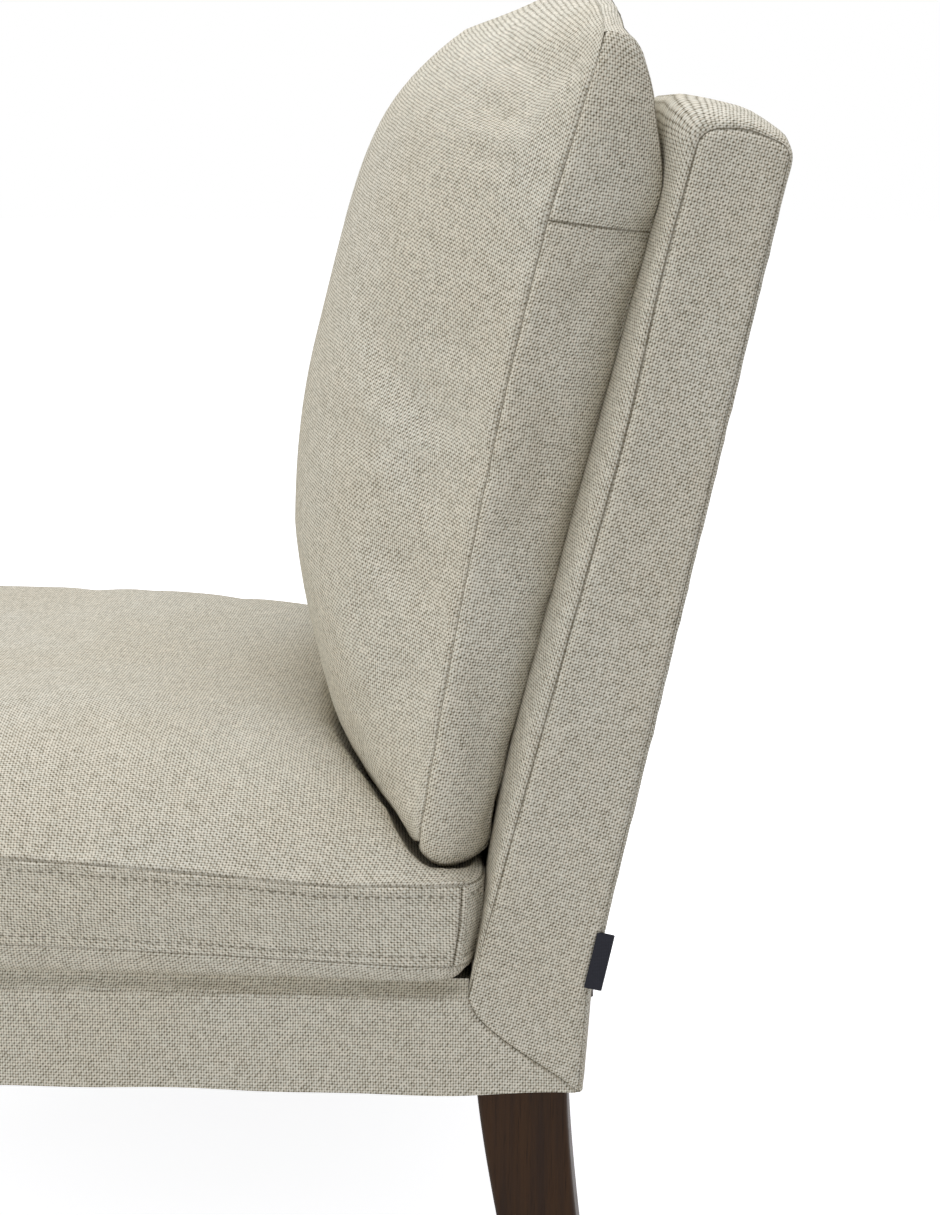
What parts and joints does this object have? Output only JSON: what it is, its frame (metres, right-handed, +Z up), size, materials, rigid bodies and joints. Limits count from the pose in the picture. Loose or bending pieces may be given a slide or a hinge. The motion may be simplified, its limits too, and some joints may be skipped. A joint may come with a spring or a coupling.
{
  "type": "slipper chair",
  "caption": "Armless low chair with a fitted linen cover, a boxed loose seat cushion, a plump loose back cushion and dark tapered wooden legs.",
  "frame": {"origin": "on the floor, under the middle of the chair's overall width and depth", "axes": "+Z up; the seat faces -Y and +Y is towards the back; +X is the sitter's left"},
  "size_m": [0.616, 0.7986, 0.8245],
  "materials": {
    "linen": "matte",
    "foam": "matte",
    "felt": "matte",
    "webbing": "matte",
    "dust_cloth": "matte",
    "zip_tape": "matte",
    "tag_cloth": "matte",
    "frame_wood": "matte",
    "leg_wood": "satin",
    "steel": "satin",
    "zip_metal": "satin",
    "glide_plastic": "matte"
  },
  "bodies": {
    "frame": {"seat_left_rail": "frame_wood", "seat_right_rail": "frame_wood", "seat_front_rail": "frame_wood", "seat_rear_rail": "frame_wood", "corner_block_front_left": "frame_wood", "corner_block_front_right": "frame_wood", "corner_block_rear_left": "frame_wood", "corner_block_rear_right": "frame_wood", "back_left_post": "frame_wood", "back_right_post": "frame_wood", "back_top_rail": "frame_wood", "back_lower_rail": "frame_wood", "back_web_1": "webbing", "back_web_2": "webbing", "back_web_3": "webbing", "back_web_4": "webbing", "seat_spring_1": "steel", "spring_clip_front_1": "steel", "spring_clip_rear_1": "steel", "seat_spring_2": "steel", "spring_clip_front_2": "steel", "spring_clip_rear_2": "steel", "seat_spring_3": "steel", "spring_clip_front_3": "steel", "spring_clip_rear_3": "steel", "seat_spring_4": "steel", "spring_clip_front_4": "steel", "spring_clip_rear_4": "steel", "spring_insulator": "felt", "back_wadding": "felt", "seat_deck_pad": "foam", "back_foam": "foam", "seat_cover": "linen", "back_cover": "linen", "dust_cover": "dust_cloth", "leg_front_left": "leg_wood", "hanger_bolt_front_left": "steel", "glide_front_left": "glide_plastic", "leg_front_right": "leg_wood", "hanger_bolt_front_right": "steel", "glide_front_right": "glide_plastic", "leg_rear_left": "leg_wood", "hanger_bolt_rear_left": "steel", "glide_rear_left": "glide_plastic", "leg_rear_right": "leg_wood", "hanger_bolt_rear_right": "steel", "glide_rear_right": "glide_plastic", "side_tag": "tag_cloth"},
    "seat_cushion": {"seat_cushion_cover": "linen", "seat_cushion_core": "foam", "seat_cushion_zip": "zip_tape"},
    "back_cushion": {"back_cushion_cover": "linen", "back_cushion_core": "foam", "back_cushion_zip": "zip_tape"},
    "seat_zip_pull": {"seat_cushion_zip_slider": "zip_metal"},
    "back_zip_pull": {"back_cushion_zip_slider": "zip_metal"}
  },
  "joints": [
    {"name": "seat_cushion_lift", "type": "slide", "parent": "frame", "child": "seat_cushion", "axis": [0, 0, 1], "range_m": [0, 0.35]},
    {"name": "back_cushion_lift", "type": "slide", "parent": "seat_cushion", "child": "back_cushion", "axis": [0, 0, 1], "range_m": [0, 0.5]},
    {"name": "seat_zip_slide", "type": "slide", "parent": "seat_cushion", "child": "seat_zip_pull", "axis": [-1, 0, 0], "range_m": [0, 0.35]},
    {"name": "back_zip_slide", "type": "slide", "parent": "back_cushion", "child": "back_zip_pull", "axis": [-1, 0, 0], "range_m": [0, 0.33]}
  ]
}
